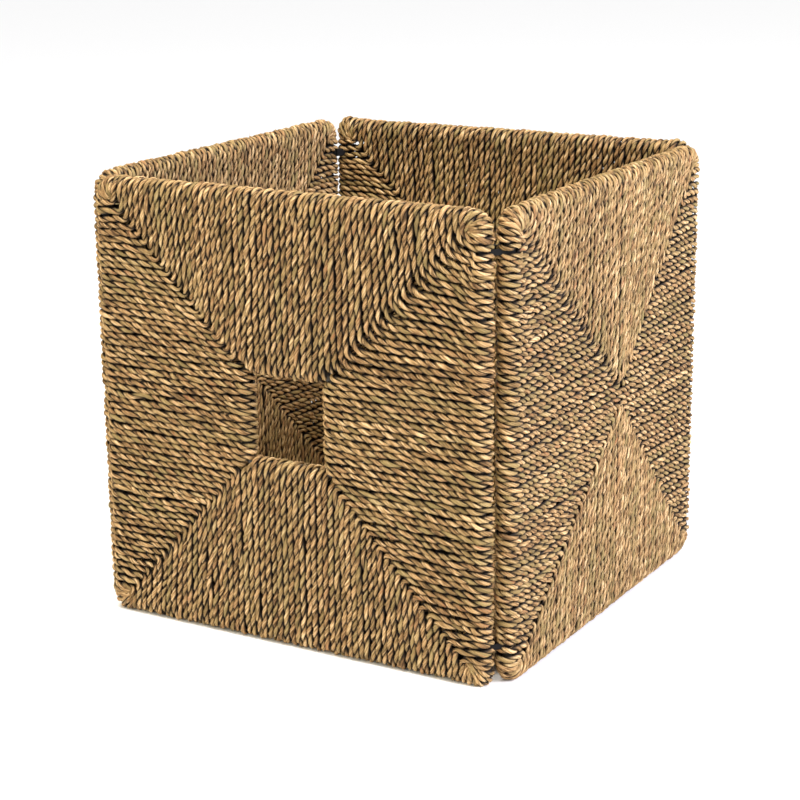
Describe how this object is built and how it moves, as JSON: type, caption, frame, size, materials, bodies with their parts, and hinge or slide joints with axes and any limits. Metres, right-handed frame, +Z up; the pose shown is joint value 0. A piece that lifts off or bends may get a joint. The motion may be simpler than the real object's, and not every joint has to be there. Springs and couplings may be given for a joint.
{
  "type": "storage basket",
  "caption": "Square open-topped storage basket: five seagrass-wound panels on rod frames, tied at the corners, with a hand hole in the front wall and a base that swings up.",
  "frame": {"origin": "on the floor under the middle of the basket", "axes": "+Z up, -Y out of the front wall with the hand hole, +X to the basket's right seen from the front"},
  "size_m": [0.314, 0.314, 0.3],
  "materials": {
    "seagrass_cord": "twisted dry seagrass cord, matt with a slight waxy sheen",
    "frame_rod": "dark lacquered steel rod",
    "tie_nylon": "black moulded nylon"
  },
  "bodies": {
    "walls": {"front_bottom_winding": "seagrass_cord", "front_top_winding": "seagrass_cord", "front_left_winding": "seagrass_cord", "front_right_winding": "seagrass_cord", "right_bottom_winding": "seagrass_cord", "right_top_winding": "seagrass_cord", "right_front_winding": "seagrass_cord", "right_back_winding": "seagrass_cord", "back_bottom_winding": "seagrass_cord", "back_top_winding": "seagrass_cord", "back_left_winding": "seagrass_cord", "back_right_winding": "seagrass_cord", "left_bottom_winding": "seagrass_cord", "left_top_winding": "seagrass_cord", "left_front_winding": "seagrass_cord", "left_back_winding": "seagrass_cord", "front_rod_frame": "frame_rod", "right_rod_frame": "frame_rod", "back_rod_frame": "frame_rod", "left_rod_frame": "frame_rod", "hand_hole_frame": "frame_rod", "corner_tie_front_right_lower": "tie_nylon", "corner_tie_front_right_upper": "tie_nylon", "corner_tie_back_right_lower": "tie_nylon", "corner_tie_back_right_upper": "tie_nylon", "corner_tie_back_left_lower": "tie_nylon", "corner_tie_back_left_upper": "tie_nylon", "corner_tie_front_left_lower": "tie_nylon", "corner_tie_front_left_upper": "tie_nylon", "base_tie_left": "tie_nylon", "base_tie_right": "tie_nylon"},
    "base_flap": {"base_front_winding": "seagrass_cord", "base_back_winding": "seagrass_cord", "base_left_winding": "seagrass_cord", "base_right_winding": "seagrass_cord", "base_rod_frame": "frame_rod"}
  },
  "joints": [
    {"name": "base_flap_hinge", "type": "hinge", "parent": "walls", "child": "base_flap", "pos_m": [0, 0.127, 0.0085], "axis": [-1, 0, 0], "range_deg": [0, 88]}
  ]
}
